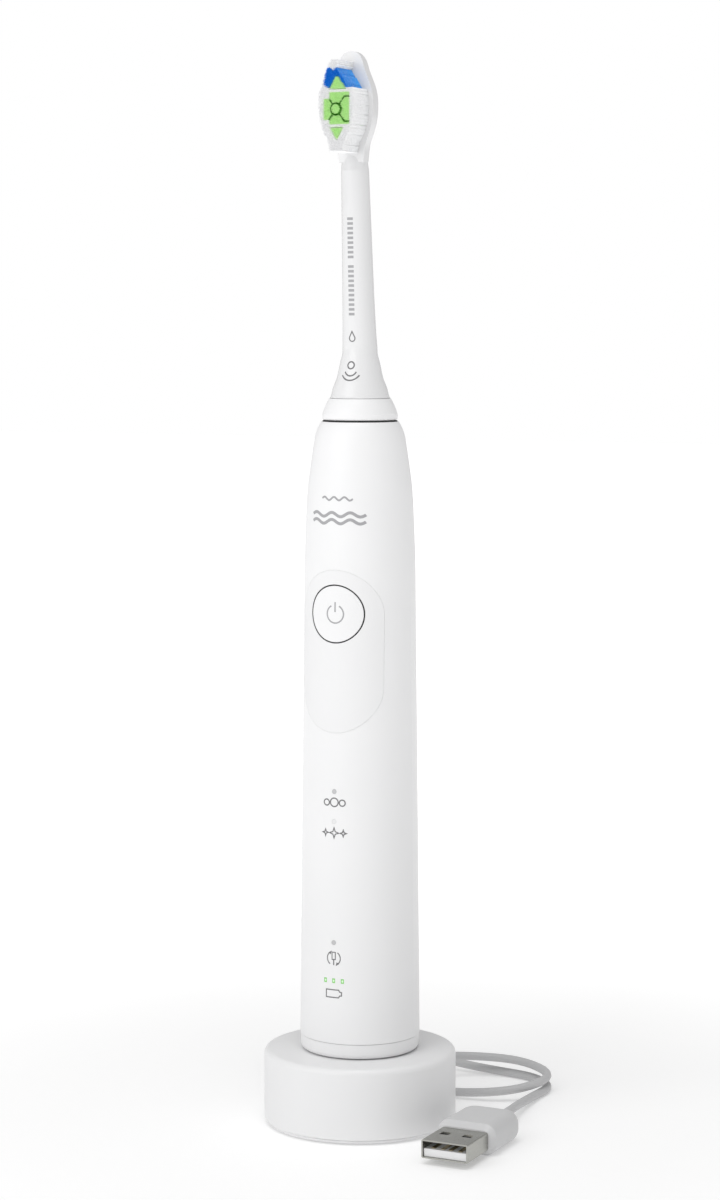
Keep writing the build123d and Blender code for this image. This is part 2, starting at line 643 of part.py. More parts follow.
def neck_skirt():
    """The flared foot of the neck, with the spigot that fills the collar."""
    foot, top = COLLAR_TOP, NECK_BEND_Z + 3.0
    flare, swell = top - foot, NECK_FOOT_R - NECK_R
    curve = [(NECK_R + share * swell, foot + up * flare) for share, up in FLARE_CURVE]
    side = Spline((NECK_FOOT_R, foot), *curve, (NECK_R, top), tangents=((-1, 1.2), (0, 1)))
    skirt = turned(side + Polyline((NECK_R, top), (0, top), (0, foot), (NECK_FOOT_R, foot)))
    return skirt + rod(SEAL_R - 1.25, HEAD_Z + 1.0, foot + 1)


def brush_neck():
    rings = [Plane.XY.offset(NECK_BEND_Z + 3.0) * Circle(NECK_R)]
    for rise in NECK_STATIONS:
        z = NECK_BEND_Z + rise
        radius, lean = neck_station(z)
        rings.append(Plane.XY.offset(z) * Pos(0, -lean) * Circle(radius))
    middle_y = HEAD_BACK_Y - HEAD_T / 2
    root = Ellipse(NECK_TOP_R - 0.1, HEAD_T / 2 - 0.1)
    root = Plane.XY.offset(NECK_TOP_Z + 1) * Pos(0, middle_y) * root
    neck = neck_skirt() + loft(rings) + loft([rings[-1], root])
    neck += head_plate()
    neck -= rod(SOCKET_R + 0.01, SOCKET_Z, SHAFT_TOP_Z + 1.5)
    return neck - rod(CLIP_R + 0.05, HEAD_Z - 1, SOCKET_Z)


def head_outline(inset, top_inset=None):
    """The egg-shaped plate in XZ, drawn in by inset, and at the tip by top_inset."""
    tip = HEAD_TIP_Z - (inset if top_inset is None else top_inset)
    mid, half = HEAD_MID_Z, HEAD_HALF_W - inset
    low, low_half = NECK_TOP_Z - 1.0 + 1.6 * inset, NECK_TOP_R - 1.25 * inset
    above, below = tip - mid, mid - low
    right = Spline((0, tip), (0.60 * half, mid + 0.70 * above), (0.92 * half, mid + 0.34 * above),
                   (half, mid), (0.87 * half, mid - 0.38 * below), (0.70 * half, mid - 0.60 * below),
                   (low_half, low), tangents=((1, 0), (-0.12, -1)))
    left = mirror(right, Plane.YZ)
    return Plane.XZ * make_face(right + left + Line((low_half, low), (-low_half, low)))


def head_plate():
    plate = Pos(0, HEAD_BACK_Y, 0) * extrude(head_outline(0), HEAD_T)
    plate = fillet(plate.faces().sort_by(Axis.Y)[-1].edges(), HEAD_ROUND)
    above = HEAD_TIP_Z - HEAD_MID_Z
    tip_y, back = HEAD_FRONT_Y + HEAD_TIP_T, HEAD_BACK_Y + 0.01
    curve = [(back - forward * HEAD_T, HEAD_MID_Z + up * above) for forward, up in BACK_CURVE]
    slope = Spline((back, HEAD_MID_Z), *curve, (tip_y, HEAD_TIP_Z), tangents=((0, 1), (-1, 0.7)))
    over, behind = HEAD_TIP_Z + 3, 3
    corners = ((tip_y, HEAD_TIP_Z), (tip_y, over), (behind, over), (behind, HEAD_MID_Z), (back, HEAD_MID_Z))
    cut = slope + Polyline(*corners)
    return plate - extrude(Plane.YZ * make_face(cut), 2 * HEAD_HALF_W, both=True)


def bristle_field():
    outline = head_outline(BRISTLE_INSET, BRISTLE_TOP_INSET)
    return Pos(0, HEAD_FRONT_Y, 0) * extrude(outline, BRISTLE_L)


def blue_zone(grow):
    w = TUFT_HALF_W + 1.0 + grow
    return block(-w, w, TIP_Y - 1, HEAD_FRONT_Y + 1, BLUE_Z[0] - grow, BLUE_Z[1] + grow)


def green_zone(grow):
    w = TUFT_HALF_W + grow
    return block(-w, w, TIP_Y - 1, HEAD_FRONT_Y + 1, GREEN_Z[0] - grow, GREEN_Z[1] + grow)


def white_bristles():
    return bristle_field() - blue_zone(BRISTLE_GAP) - green_zone(BRISTLE_GAP)


def blue_bristles():
    return bristle_field() & blue_zone(0)


def green_bristles():
    return bristle_field() & green_zone(0)


def shaft_socket():
    """Moulded sleeve that grips the shaft, with its drive flat."""
    bore_r, bore_top = SHAFT_R + RUN_FIT, SHAFT_TOP_Z + 0.4
    sleeve = rod(SOCKET_R, SOCKET_Z + 0.05, SHAFT_TOP_Z + 1.4) - rod(bore_r, SOCKET_Z - 1, bore_top)
    flat_y = SHAFT_FLAT + RUN_FIT
    key = block(-3, 3, flat_y, 3, SHAFT_TOP_Z - SHAFT_FLAT_L + 1, bore_top)
    return sleeve + (key & rod(bore_r + 0.2, SOCKET_Z, bore_top))


def retaining_clip():
    """Open spring ring under the socket."""
    ring = tube(CLIP_R, SHAFT_R + RUN_FIT + 0.05, SOCKET_Z - 3.4, SOCKET_Z - 0.4)
    return ring - block(-0.8, 0.8, 0, 5, SOCKET_Z - 5, SOCKET_Z + 1)


def main():
    os.makedirs("parts", exist_ok=True)
    save(charger_cover(), "charger_cover")
    save(charger_base_plate(), "charger_base_plate")
    save(foot_ring(), "charger_foot_ring")
    for i, spot in enumerate(spots(SCREW_CIRCLE_R)):
        save(charger_screw(spot), f"charger_screw_{i + 1}")
    save(ferrite_core(), "charger_ferrite_core")
    save(sending_bobbin(), "charger_coil_bobbin")
    save(sending_coil(), "charger_coil")
    save(charger_board(), "charger_circuit_board")
    save(strain_relief(), "cord_strain_relief")
    save(cord_tube(CORD_OUT, "charger_cord_loop"), "charger_cord_loop")
    save(cord_tube(CORD_LEAD, "charger_cord_lead"), "charger_cord_lead")
    save(cord_hank(), "charger_cord_coil")
    save(cord_tie(), "cord_tie")
    save(plug_body(), "usb_plug_body")
    save(plug_shell(), "usb_plug_shell")
    save(plug_tongue(), "usb_plug_tongue")
    save(plug_contacts(), "usb_contacts")

    save(housing(), "handle_housing")
    save(bottom_cap(), "handle_bottom_cap")
    save(cap_o_ring(), "handle_cap_seal")
    save(grip_panel(), "grip_panel")
    save(button_ring(), "button_ring")
    for name, x, z, narrow in light_spots():
        save(light_guide(x, z, narrow), name)
    save(receiving_coil(), "handle_charging_coil")
    save(receiving_bobbin(), "handle_coil_bobbin")
    save(battery(), "battery")
    save(battery_contact(BATTERY_Z - CONTACT_T - 0.05), "battery_contact_lower")
    save(battery_contact(BATTERY_Z + BATTERY_L + 0.9), "battery_contact_upper")
    save(inner_frame(), "inner_frame")
    save(main_board(), "main_circuit_board")
    save(push_switch(), "push_switch")
    save(stator(-1), "stator_pole_left")
    save(stator(1), "stator_pole_right")
    save(stator_coil(), "stator_coil")
    save(motor_plate(MOTOR_Z - 2), "motor_plate_lower")
    save(motor_plate(MOTOR_TOP), "motor_plate_upper")
    save(bearing(MOTOR_Z - 2.5), "shaft_bearing_lower")
    save(bearing(UPPER_BEARING_Z), "shaft_bearing_upper")
    save(bearing_carrier(), "bearing_carrier")
    save(drive_spring(), "drive_spring")
    save(shaft_seal(), "shaft_seal")

    save(power_button(), "power_button")
    save(button_plunger(), "button_plunger")

    save(drive_shaft(), "drive_shaft")
    save(rotor(), "rotor_hub")
    save(rotor_magnets(), "rotor_magnets")

    save(brush_collar(), "brush_collar")
    save(brush_neck(), "brush_neck")
    save(shaft_socket(), "brush_shaft_socket")
    save(retaining_clip(), "brush_retaining_clip")
    save(white_bristles(), "bristles_white")
    save(blue_bristles(), "bristles_blue")
    save(green_bristles(), "bristles_green")


main()
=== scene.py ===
# %% [markdown]
# # An electric toothbrush standing on its charger
# The engineering model already exists: a handle with a motor and a battery, a charger with a
# post inside, a USB cord and a clip-on brush head.  This lesson dresses it for a studio
# picture.  It loads the model as a fixed frame, adds the pieces that solids show badly, such
# as bristles, printed symbols and a flexible cord, and gives every surface a finish.
# Lengths below are written in millimetres, the way a maker thinks of them, and are turned
# into Blender's metres by MM.

# %% Load the frame
import json
import random
from math import ceil, cos, hypot, pi, radians, sin, sqrt

import bpy
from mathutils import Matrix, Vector
from mathutils.bvhtree import BVHTree


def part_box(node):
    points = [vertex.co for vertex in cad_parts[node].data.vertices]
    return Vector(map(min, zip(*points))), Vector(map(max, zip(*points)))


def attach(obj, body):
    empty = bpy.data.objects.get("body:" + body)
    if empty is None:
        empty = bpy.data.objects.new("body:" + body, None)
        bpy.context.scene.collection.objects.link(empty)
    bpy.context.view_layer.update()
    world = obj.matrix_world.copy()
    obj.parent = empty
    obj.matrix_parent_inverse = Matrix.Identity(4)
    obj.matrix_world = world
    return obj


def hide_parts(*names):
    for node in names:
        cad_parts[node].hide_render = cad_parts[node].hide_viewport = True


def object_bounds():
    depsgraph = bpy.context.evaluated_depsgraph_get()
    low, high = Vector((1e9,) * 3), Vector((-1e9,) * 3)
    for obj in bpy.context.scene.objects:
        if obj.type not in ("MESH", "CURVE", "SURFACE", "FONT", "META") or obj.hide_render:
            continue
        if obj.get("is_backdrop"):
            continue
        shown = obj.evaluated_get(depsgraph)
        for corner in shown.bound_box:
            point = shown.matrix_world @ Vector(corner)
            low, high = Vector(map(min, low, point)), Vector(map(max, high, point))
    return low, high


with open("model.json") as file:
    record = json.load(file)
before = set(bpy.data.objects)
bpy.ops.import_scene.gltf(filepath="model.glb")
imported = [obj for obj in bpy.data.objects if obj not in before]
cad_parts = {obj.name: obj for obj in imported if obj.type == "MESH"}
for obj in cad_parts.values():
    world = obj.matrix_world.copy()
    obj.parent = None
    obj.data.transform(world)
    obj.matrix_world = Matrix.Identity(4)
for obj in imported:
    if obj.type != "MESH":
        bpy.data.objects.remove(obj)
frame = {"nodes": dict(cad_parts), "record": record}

MM = 0.001
scene = bpy.context.scene
cad_low, cad_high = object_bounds()

# %% [markdown]
# ## The camera
# A product picture is taken with a long lens from a little above the foot, so that upright
# lines stay nearly upright.  The camera could be placed by eye.  It is worked out here from
# an angle round the object, a distance and a height, because those three numbers are easy
# to check against the size of the object.

# %% Camera
CAMERA_TURN = 26.0          # degrees round to the right of the button side
CAMERA_AWAY = 701.0         # level distance from the middle of the handle
CAMERA_HEIGHT = 197.9
CAMERA_DOWN = 5.44          # degrees

lens = bpy.data.cameras.new("camera")
lens.sensor_fit = "VERTICAL"
lens.sensor_height = 36.0
lens.lens = 85.5
camera = bpy.data.objects.new("camera", lens)
scene.collection.objects.link(camera)
turn = radians(CAMERA_TURN)
camera.location = Vector((CAMERA_AWAY * sin(turn), -CAMERA_AWAY * cos(turn), CAMERA_HEIGHT)) * MM
camera.rotation_euler = (radians(90 - CAMERA_DOWN), 0, turn)
scene.camera = camera
print("camera at", [round(x, 3) for x in camera.location])

# %% [markdown]
# ## Shader maths as plain Python
# A finish is a small graph of nodes.  Drawing it by hand is slow to read back, so two small
# classes build it.  Value wraps one socket and turns + - * / and ** into Math nodes, and
# Finish holds one material with its Principled shader.  Finish.node makes any other node:
# its settings first, then the values or links of its sockets.

# %% Value and Finish
class Value:
    """The output of a node, used like a number."""

    def __init__(self, finish, socket):
        self.finish, self.socket = finish, socket

    def maths(self, operation, first, second):
        settings = {"operation": operation}
        return self.finish.node("Math", settings, {0: first, 1: second})

    def __add__(self, other):
        return self.maths("ADD", self, other)

    def __sub__(self, other):
        return self.maths("SUBTRACT", self, other)

    def __rsub__(self, other):
        return self.maths("SUBTRACT", other, self)

    def __mul__(self, other):
        return self.maths("MULTIPLY", self, other)

    def __truediv__(self, other):
        return self.maths("DIVIDE", self, other)

    def __pow__(self, other):
        return self.maths("POWER", self, other)

    def __gt__(self, other):
        return self.maths("GREATER_THAN", self, other)

    def __lt__(self, other):
        return self.maths("LESS_THAN", self, other)

    __radd__, __rmul__ = __add__, __mul__


class Finish:
    """One material: its Principled shader and short ways to add nodes before it."""

    def __init__(self, name, colour, roughness, **fixed):
        self.material = bpy.data.materials.new(name)
        self.material.use_nodes = True
        self.tree = self.material.node_tree
        self.shader = self.tree.nodes["Principled BSDF"]
        self.colour = (*colour, 1.0)
        self.put("Base Color", self.colour)
        self.put("Roughness", roughness)
        for key, value in fixed.items():
            self.put(key.replace("_", " "), value)
        self.place = self.node("TexCoord", output="Object")

    def feed(self, socket, value):
        if isinstance(value, Value):
            self.tree.links.new(value.socket, socket)
        else:
            socket.default_value = value

    def put(self, name, value):
        self.feed(self.shader.inputs[name], value)

    def node(self, kind, settings=None, inputs=None, output=0):
        made = self.tree.nodes.new("ShaderNode" + kind)
        for name, value in (settings or {}).items():
            if name == "stops":
                made.color_ramp.elements[0].position, made.color_ramp.elements[0].color = value[0]
                made.color_ramp.elements[1].position, made.color_ramp.elements[1].color = value[-1]
                for position, shade in value[1:-1]:
                    made.color_ramp.elements.new(position).color = shade
            else:
                setattr(made, name, value)
        for key, value in (inputs or {}).items():
            self.feed(made.inputs[key], value)
        return Value(self, made.outputs[output])

    def cloud(self, size, detail=3.0, stretch=(1, 1, 1)):
        """Soft noise from 0 to 1 with spots about size millimetres wide."""
        scale = [1 / (size * MM) * s for s in stretch]
        place = self.node("VectorMath", {"operation": "MULTIPLY"}, {0: self.place, 1: scale})
        return self.node("TexNoise", None, {"Vector": place, "Scale": 1.0, "Detail": detail})

    def along(self, axis):
        """The position along one axis of the model, in millimetres."""
        split = self.node("SeparateXYZ", None, {0: self.place}, output=axis)
        return split * (1 / MM)

    def blend(self, share, first, second):
        """A colour from first, where share is 0, to second, where it is 1."""
        return self.node("Mix", {"data_type": "RGBA"}, {0: share, 6: first, 7: second}, output=2)

    def shader_input(self, name):
        """What already feeds the Principled shader's socket of that name."""
        return Value(self, self.shader.inputs[name].links[0].from_socket)

    def tint(self, share, other):
        """Mixes another colour into the base colour."""
        self.put("Base Color", self.blend(share, self.colour, (*other, 1.0)))

    def relief(self, height, depth):
        """Raises the surface by height, a value from 0 to 1, times depth millimetres."""
        bump = self.node("Bump", None, {"Height": height, "Strength": 1.0, "Distance": depth * MM})
        self.put("Normal", bump)


print("Value and Finish are ready")

# %% [markdown]
# ## Moulded plastics
# Nearly everything outside is injection-moulded: satin covers, a glossy neck, a soft pad, a
# cord jacket.  They differ in gloss and in the grain that the steel mould leaves.  One
# function makes them all: a slow drift of tone a few centimetres wide, a finer drift of
# roughness, and a grain of tiny hills.  The grain is deep on the soft pad and nearly absent
# on the neck.

# %% Moulded plastics
def moulded(name, colour, roughness, grain_size, grain_depth, drift=0.03, **fixed):
    finish = Finish(name, colour, roughness, **fixed)
    shade = tuple(c * (1 - 2 * drift) for c in colour)
    finish.tint(finish.cloud(26.0), shade)
    finish.put("Roughness", finish.cloud(4.0) * 0.10 + (roughness - 0.05))
    finish.relief(finish.cloud(grain_size, detail=2.0), grain_depth)
    return finish


FINISHES = {
    "white_satin": moulded("white_satin", (0.84, 0.84, 0.845), 0.42, 0.22, 0.004),
    "white_gloss": moulded("white_gloss", (0.75, 0.75, 0.755), 0.24, 0.60, 0.001, drift=0.01),
    "white_soft": moulded("white_soft", (0.82, 0.82, 0.825), 0.58, 0.16, 0.012),
    "grey_rubber": moulded("grey_rubber", (0.012, 0.012, 0.013), 0.62, 0.20, 0.010),
    # Painted shade: the cord and the plug grip are white plastic, but are given darker greys that stand
    # for the shade on their lower and right-hand sides.
    "white_cord": moulded("white_cord", (0.55, 0.55, 0.555), 0.46, 0.12, 0.006),
    "plug_plastic": moulded("plug_plastic", (0.64, 0.64, 0.645), 0.44, 0.15, 0.008),
    "inner_plastic": moulded("inner_plastic", (0.26, 0.27, 0.29), 0.50, 0.30, 0.008),
}
print("moulded:", ", ".join(FINISHES))

# %% [markdown]
# ## Metals and the working parts
# The inside shows only when the model is taken apart, but each part still has its own stuff:
# turned steel with fine rings, a nickel shell with rolling marks, copper wire wound in
# rings, dark ferrite, a green board with tracks.  Turned parts get noise that is squashed
# along their axis, so the marks run round them.

# %% Metals
def metal(name, colour, roughness, stretch, mark_depth):
    finish = Finish(name, colour, roughness, Metallic=1.0)
    marks = finish.cloud(1.2, detail=4.0, stretch=stretch)
    finish.tint(marks, tuple(c * 0.82 for c in colour))
    finish.put("Roughness", marks * 0.18 + (roughness - 0.09))
    finish.relief(marks, mark_depth)
    return finish


FINISHES["steel"] = metal("steel", (0.62, 0.62, 0.63), 0.26, (1, 1, 9), 0.004)
FINISHES["shell_metal"] = metal("shell_metal", (0.46, 0.46, 0.43), 0.30, (9, 0.8, 9), 0.003)
FINISHES["gold"] = metal("gold", (0.48, 0.40, 0.24), 0.34, (6, 0.8, 6), 0.002)

WIRE = 0.28                 # pitch of the copper wire
copper = Finish("copper", (0.62, 0.26, 0.12), 0.30, Metallic=1.0)
turns = copper.node("TexWave", {"bands_direction": "Z"}, {
    "Vector": copper.place, "Scale": 1 / (20 * WIRE * MM), "Distortion": 0.4, "Detail": 1.0}, output=1)
# Painted shade: the copper is darker in the hollows between the turns of wire.
copper.tint(1 - turns, (0.20, 0.06, 0.03))
copper.relief(turns, 0.08)
FINISHES["copper"] = copper
print("metals:", ", ".join(("steel", "shell_metal", "gold", "copper")))

# %% Ferrite, board and cell
ferrite = Finish("ferrite", (0.030, 0.028, 0.028), 0.62)
grit = ferrite.cloud(0.5, detail=6.0)
ferrite.tint(grit, (0.075, 0.070, 0.068))
ferrite.relief(grit, 0.03)
FINISHES["ferrite"] = ferrite

board = Finish("board_green", (0.012, 0.11, 0.05), 0.34, Coat_Weight=0.4)
tracks = board.node("TexBrick", None, {
    "Vector": board.place, "Scale": 1 / (1.1 * MM), "Mortar Size": 0.07, "Mortar Smooth": 0.2}, output=1)
board.tint(tracks, (0.05, 0.28, 0.11))
board.relief(tracks, 0.02)
FINISHES["board_green"] = board

cell = Finish("battery_wrap", (0.03, 0.13, 0.34), 0.30, Coat_Weight=0.5)
band = (cell.along(2) > 76.0) * 0.9
cell.tint(band, (0.60, 0.61, 0.62))
cell.put("Roughness", cell.cloud(3.0) * 0.12 + 0.24)
cell.relief(cell.cloud(2.0), 0.02)
FINISHES["battery_wrap"] = cell
print("core, board and cell are done")

# %% [markdown]
# ## Lights and nylon
# The battery lights are green windows lit from behind, so their finish glows a little as well
# as reflecting, and is paler in the middle of each window.  The other windows are unlit: two
# show as pale grey dots, and one is as white as the neck.  Nylon filaments are clear at the
# root and catch more light at the tip: each bristle colour runs from a deeper to a lighter
# tone along the filament, which stands along the Y axis.

# %% Light windows and bristle colours
def window(name, colour, glow):
    finish = Finish(name, colour, 0.30, Coat_Weight=0.6, Emission_Strength=glow)
    finish.put("Emission Color", (*colour, 1.0))
    finish.tint(finish.cloud(0.8), tuple(c * 0.90 for c in colour))
    finish.relief(finish.cloud(0.3), 0.003)
    return finish


FINISHES["light_green"] = lit = window("light_green", (0.17, 0.50, 0.11), 0.30)
LIGHT_PITCH = 2.3
LIGHT_HALF_W, LIGHT_HALF_H = 0.37, 0.55
CORE = 0.28                 # the pale middle's share of a window, squared
light_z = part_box("battery_light_2")[0].z / MM + LIGHT_HALF_H
nearest = lit.node("Math", {"operation": "ROUND"}, {0: lit.along(0) / LIGHT_PITCH}) * LIGHT_PITCH
sideways = (lit.along(0) - nearest) / LIGHT_HALF_W
upwards = (lit.along(2) - light_z) / LIGHT_HALF_H
core = (sideways ** 2 + upwards ** 2) < CORE
lit.put("Base Color", lit.blend(core, lit.shader_input("Base Color"), (0.62, 0.78, 0.58, 1.0)))
lit.put("Emission Color", lit.blend(core, (0.17, 0.50, 0.11, 1.0), (0.40, 0.60, 0.36, 1.0)))
FINISHES["light_grey"] = window("light_grey", (0.50, 0.50, 0.51), 0.0)

NYLON_GLOW = 0.10           # stands for the light that runs along the clear filaments
ROOT_Y, TIP_Y = (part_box("bristles_green")[i].y / MM for i in (1, 0))


def nylon(name, tip, root):
    finish = Finish(name, tip, 0.28, Coat_Weight=0.25, Emission_Strength=NYLON_GLOW)
    finish.put("Emission Color", (*tip, 1.0))
    share = (finish.along(1) - TIP_Y) / (ROOT_Y - TIP_Y)
    speckle = finish.cloud(0.35) * 0.5
    finish.tint(share ** 1.5 * 0.8 + speckle * 0.25, root)
    finish.put("Roughness", speckle * 0.3 + 0.2)
    finish.relief(finish.cloud(0.08), 0.002)
    return finish


FINISHES["bristle_white"] = nylon("bristle_white", (0.93, 0.93, 0.935), (0.86, 0.87, 0.88))
FINISHES["bristle_blue"] = nylon("bristle_blue", (0.01, 0.25, 0.77), (0.08, 0.42, 0.92))
FINISHES["bristle_green"] = green = nylon("bristle_green", (0.66, 0.92, 0.46), (0.40, 0.76, 0.24))

HEAD_MID_Z = 250.15         # middle of the round tuft
ROUND_R = 1.3
across = (green.along(0) ** 2) ** 0.5
up = ((green.along(2) - HEAD_MID_Z) ** 2) ** 0.5
out = (across ** 2 + up ** 2) ** 0.5
# Painted shade: dark green lines are painted along the grooves between the green bundles, standing for
# the shade deep in the gaps. Below are their half widths and course.
RING_HALF, CROSS_HALF, SIDE_HALF = 0.22, 0.29, 0.16     # half widths of the dark lines
CROSS_RISE = 1.34           # slope of the lines that run out from the ring
CROSS_END = 2.15            # how far out they run before they turn to the side
SIDE_UP = 2.95
ring_groove_shade = (((out - (ROUND_R + 0.05)) ** 2) ** 0.5) < RING_HALF
from_cross = ((up - across * CROSS_RISE) ** 2) ** 0.5
cross_groove_shade = (from_cross < CROSS_HALF) * (out > ROUND_R) * (across < CROSS_END)
side_groove_shade = ((((up - SIDE_UP) ** 2) ** 0.5) < SIDE_HALF) * (green.along(0) > CROSS_END - 0.05)
groove_shade_mask = green.node("Math", {"operation": "MAXIMUM"}, {0: ring_groove_shade + cross_groove_shade, 1: side_groove_shade})
# Painted shade: the grooves get a deep green colour and almost no glow.
groove_shade_colour = (0.05, 0.28, 0.01, 1.0)
green.put("Base Color", green.blend(groove_shade_mask, green.shader_input("Base Color"), groove_shade_colour))
green.put("Emission Color", green.blend(groove_shade_mask, (0.60, 0.92, 0.42, 1.0), (0.02, 0.08, 0.01, 1.0)))


def ink(name, colour):
    """Printing ink: a thin film with pinholes of tone."""
    finish = Finish(name, colour, 0.50)
    finish.tint(finish.cloud(0.25), tuple(min(1.0, c * 1.12) for c in colour))
    finish.relief(finish.cloud(0.1), 0.001)
    return finish


INK_DARK = ink("ink_dark", (0.15, 0.15, 0.155))
INK_LIGHT = ink("ink_light", (0.33, 0.33, 0.34))
print("windows, nylon and ink are done")

# %% [markdown]
# ## Finishes for the engineering model
# Each node of the model names a material slot in its record.  Painting sixty nodes by hand
# would be easy to get wrong, so the slot name picks the finish.  Their meshes stay as they
# are.

# %% Paint the nodes
for part in frame["record"]["subparts"]:
    node = frame["nodes"][part["node"]]
    paint = FINISHES[part["material_slot"]].material
    if not node.material_slots:
        node.data.materials.append(paint)
    for place in node.material_slots:
        place.material = paint

# %% [markdown]
# ## Tools for new pieces
# A new piece is a list of points and faces made into a mesh, given a finish, and set riding on
# a body of the model.  surface_of looks up a point on a node's front with a ray, so a
# printed symbol can follow a curved handle.

# %% Mesh tools
def piece(name, points, faces, finish, body, smooth=True):
    mesh = bpy.data.meshes.new(name)
    mesh.from_pydata([Vector(p) * MM for p in points], [], faces)
    mesh.validate()
    mesh.materials.append(finish.material)
    if smooth:
        mesh.shade_smooth()
    made = bpy.data.objects.new(name, mesh)
    scene.collection.objects.link(made)
    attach(made, body)
    return made


def bridge(faces, first, second, count, closed=True):
    """Quads between two rows of count points that start at first and second."""
    for i in range(count if closed else count - 1):
        j = (i + 1) % count
        faces.append((first + i, first + j, second + j, second + i))


IN_FRONT = -60              # where the rays start, clear of the model's button side


def surface_of(node):
    """A function that gives the point and normal of a node's front at (x, z), or None beside it."""
    mesh = frame["nodes"][node].data
    tree = BVHTree.FromPolygons([v.co for v in mesh.vertices], [p.vertices for p in mesh.polygons])

    def front(x, z):
        point, normal, _, _ = tree.ray_cast(Vector((x, IN_FRONT, z)) * MM, Vector((0, 1, 0)))
        return None if point is None else (point / MM, normal)

    return front


print("piece, bridge and surface_of are ready")

# %% [markdown]
# ## The cord
# A thin USB cord comes out of the back of the charger, makes a wide loop to the right and
# ends in its plug beside the charger.  The length that isn't on show is wound in a neat
# bundle of about nine turns behind the charger.  The whole cord is one smooth curve through a few
# given points.  A NURBS curve suits it, because it rounds each corner by itself, and
# the turns of the bundle are simply more points on the same curve.

# %% Route of the cord
CORD_D = 2.2
BUNDLE = (-23.0, 34.6)      # centre of the wound length
LEAVES = [(0, 33, 6.0), (0, 44.4, 6.0), (10.6, 51.7, 5.4), (22.0, 54.4, 4.8), (33.7, 46.4, 4.2),
          (31.7, 33.8, 3.7), (22.6, 29.2, 2.3), (9.3, 28.1, 1.3), (-3.3, 27.4, 1.15),
          (-16.6, 21.9, 1.55)]
RETURNS = [(-29.3, 47.6, 6.0), (-16.5, 53.4, 5.8), (0.8, 53.6, 2.4), (13.6, 54.6, 1.15),
           (25.2, 53.2, 1.15), (33.3, 45.9, 1.15), (32.6, 34.8, 1.3), (34.0, 21.0, 2.5),
           (36.2, 11.2, 3.9), (36.2, 1.8, 3.9)]
# each turn of the bundle lies in one place: its radius and its layer
WINDING = [(14.3, 0), (12.1, 0), (9.9, 0), (9.9, 1), (9.9, 2), (12.1, 2), (12.1, 1), (14.3, 1), (14.3, 2)]
FIRST_STEP, STEP_EVERY, STEP_OVER = 330, 344, 46        # degrees
WOUND_FROM, WOUND = -63.3, 3061
POINTS_A_TURN = 15
LOWEST_LAYER_Z = 1.5


def eased(share):
    share = min(max(share, 0.0), 1.0)
    return share * share * (3 - 2 * share)


def bundle_points():
    """Control points of the wound length, clockwise seen from above."""
    count = round(WOUND / 360 * POINTS_A_TURN)
    for i in range(1, count):
        swept = WOUND * i / count
        radius, layer = WINDING[0]
        for k, (old, new) in enumerate(zip(WINDING, WINDING[1:])):
            share = eased((swept - FIRST_STEP - k * STEP_EVERY) / STEP_OVER + 0.5)
            radius += (new[0] - old[0]) * share
            layer += (new[1] - old[1]) * share
        reach = radius / cos(pi / POINTS_A_TURN)
        angle = radians(WOUND_FROM - swept)
        z = LOWEST_LAYER_Z + CORD_D * layer
        yield (BUNDLE[0] + reach * cos(angle), BUNDLE[1] + reach * sin(angle), z)


route = LEAVES + list(bundle_points()) + RETURNS
print(len(route), "points on the cord's route")

# %% Cord curve
line = bpy.data.curves.new("charger_cord", "CURVE")
line.dimensions = "3D"
line.bevel_depth = CORD_D / 2 * MM
line.bevel_resolution = 4
line.resolution_u = 5
line.use_fill_caps = True
spline = line.splines.new("NURBS")
spline.points.add(len(route) - 1)
for spot, point in zip(spline.points, route):
    spot.co = (*(Vector(point) * MM), 1.0)
spline.order_u = 3
spline.use_endpoint_u = True
line.materials.append(FINISHES["white_cord"].material)
cord = bpy.data.objects.new("charger_cord", line)
scene.collection.objects.link(cord)
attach(cord, "charger")
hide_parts("charger_cord_loop", "charger_cord_lead", "charger_cord_coil")
print("cord curve made")

# %% [markdown]
# ## The strain relief
# Where the cord leaves the charger, a soft ribbed sleeve keeps it from kinking.  It could be
# a turned shape with a bump for the ribs, but ribs show in outline, so they are real: rings
# of points whose radius goes up and down while it tapers towards the cord.

# %% Strain relief
def tube_along_y(rings, sides, centre_x, centre_z):
    """Points and faces of a closed round piece along Y from (y, radius) rings."""
    points, faces = [], []
    for y, radius in rings:
        for i in range(sides):
            angle = 2 * pi * i / sides
            points.append((centre_x + radius * cos(angle), y, centre_z + radius * sin(angle)))
    for k in range(len(rings) - 1):
        bridge(faces, k * sides, (k + 1) * sides, sides)
    last = (len(rings) - 1) * sides
    faces.append(tuple(range(sides)))
    faces.append(tuple(last + i for i in reversed(range(sides))))
    return points, faces


relief_low, relief_high = (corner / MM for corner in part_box("cord_strain_relief"))
RELIEF_Z = (relief_low.z + relief_high.z) / 2
RELIEF_START = 24.0         # the charger's wall
RIBS = 4
rings = [(relief_low.y, 2.3), (RELIEF_START - 0.2, 2.4), (RELIEF_START + 0.5, 2.45)]
rib_pitch = (relief_high.y - RELIEF_START - 1.6) / RIBS
for k in range(RIBS):
    y = RELIEF_START + 0.9 + k * rib_pitch
    radius = 2.4 - 0.62 * k / (RIBS - 1)
    rings += [(y, radius - 0.05), (y + 0.12, radius - 0.42), (y + 0.30 * rib_pitch, radius - 0.45)]
    rings += [(y + 0.30 * rib_pitch + 0.15, radius - 0.08), (y + 0.5 * rib_pitch, radius - 0.03)]
rings += [(relief_high.y - 0.35, 1.62), (relief_high.y, 1.35)]
points, faces = tube_along_y(rings, 32, 0.0, RELIEF_Z)
relief_piece = piece("strain_relief", points, faces, FINISHES["white_cord"], "charger")
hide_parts("cord_strain_relief")
print(len(rings), "rings in the strain relief")

